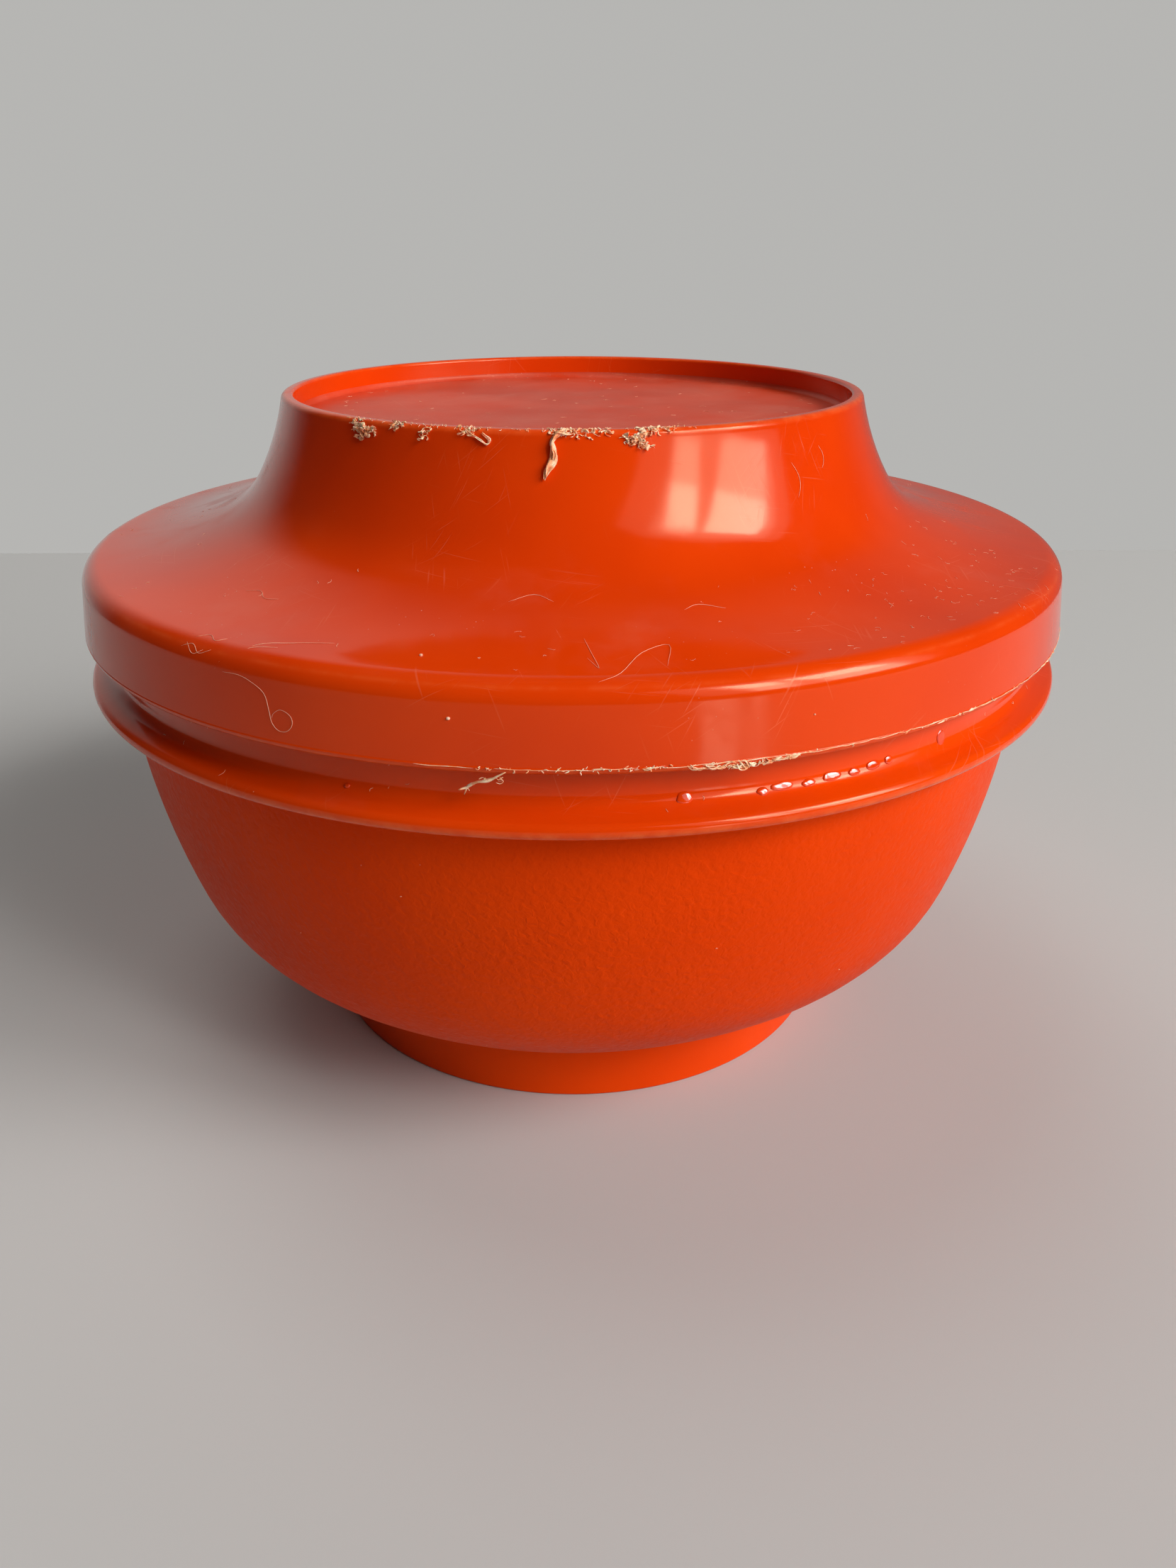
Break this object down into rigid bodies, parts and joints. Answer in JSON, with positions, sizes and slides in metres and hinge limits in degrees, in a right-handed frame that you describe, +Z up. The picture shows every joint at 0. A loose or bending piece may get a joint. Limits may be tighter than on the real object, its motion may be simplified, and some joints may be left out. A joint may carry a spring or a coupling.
{
  "type": "lidded rice bowl",
  "caption": "Round moulded plastic rice bowl on a foot ring, with a press-fit domed lid whose raised ring serves as a foot when turned over.",
  "frame": {"origin": "centre of the bowl's foot ring, on the plane it stands on", "axes": "+Z up along the axis of revolution, +X and +Y level"},
  "size_m": [0.1504, 0.1504, 0.101],
  "materials": {
    "bowl_plastic": "fine leather grain on the belly, polished flange",
    "lid_plastic": "polished, with light scratches"
  },
  "bodies": {
    "bowl": {"bowl": "bowl_plastic"},
    "lid": {"lid": "lid_plastic"}
  },
  "joints": [
    {"name": "lid_lift", "type": "slide", "parent": "bowl", "child": "lid", "axis": [0, 0, 1], "range_m": [0, 0.12]}
  ]
}
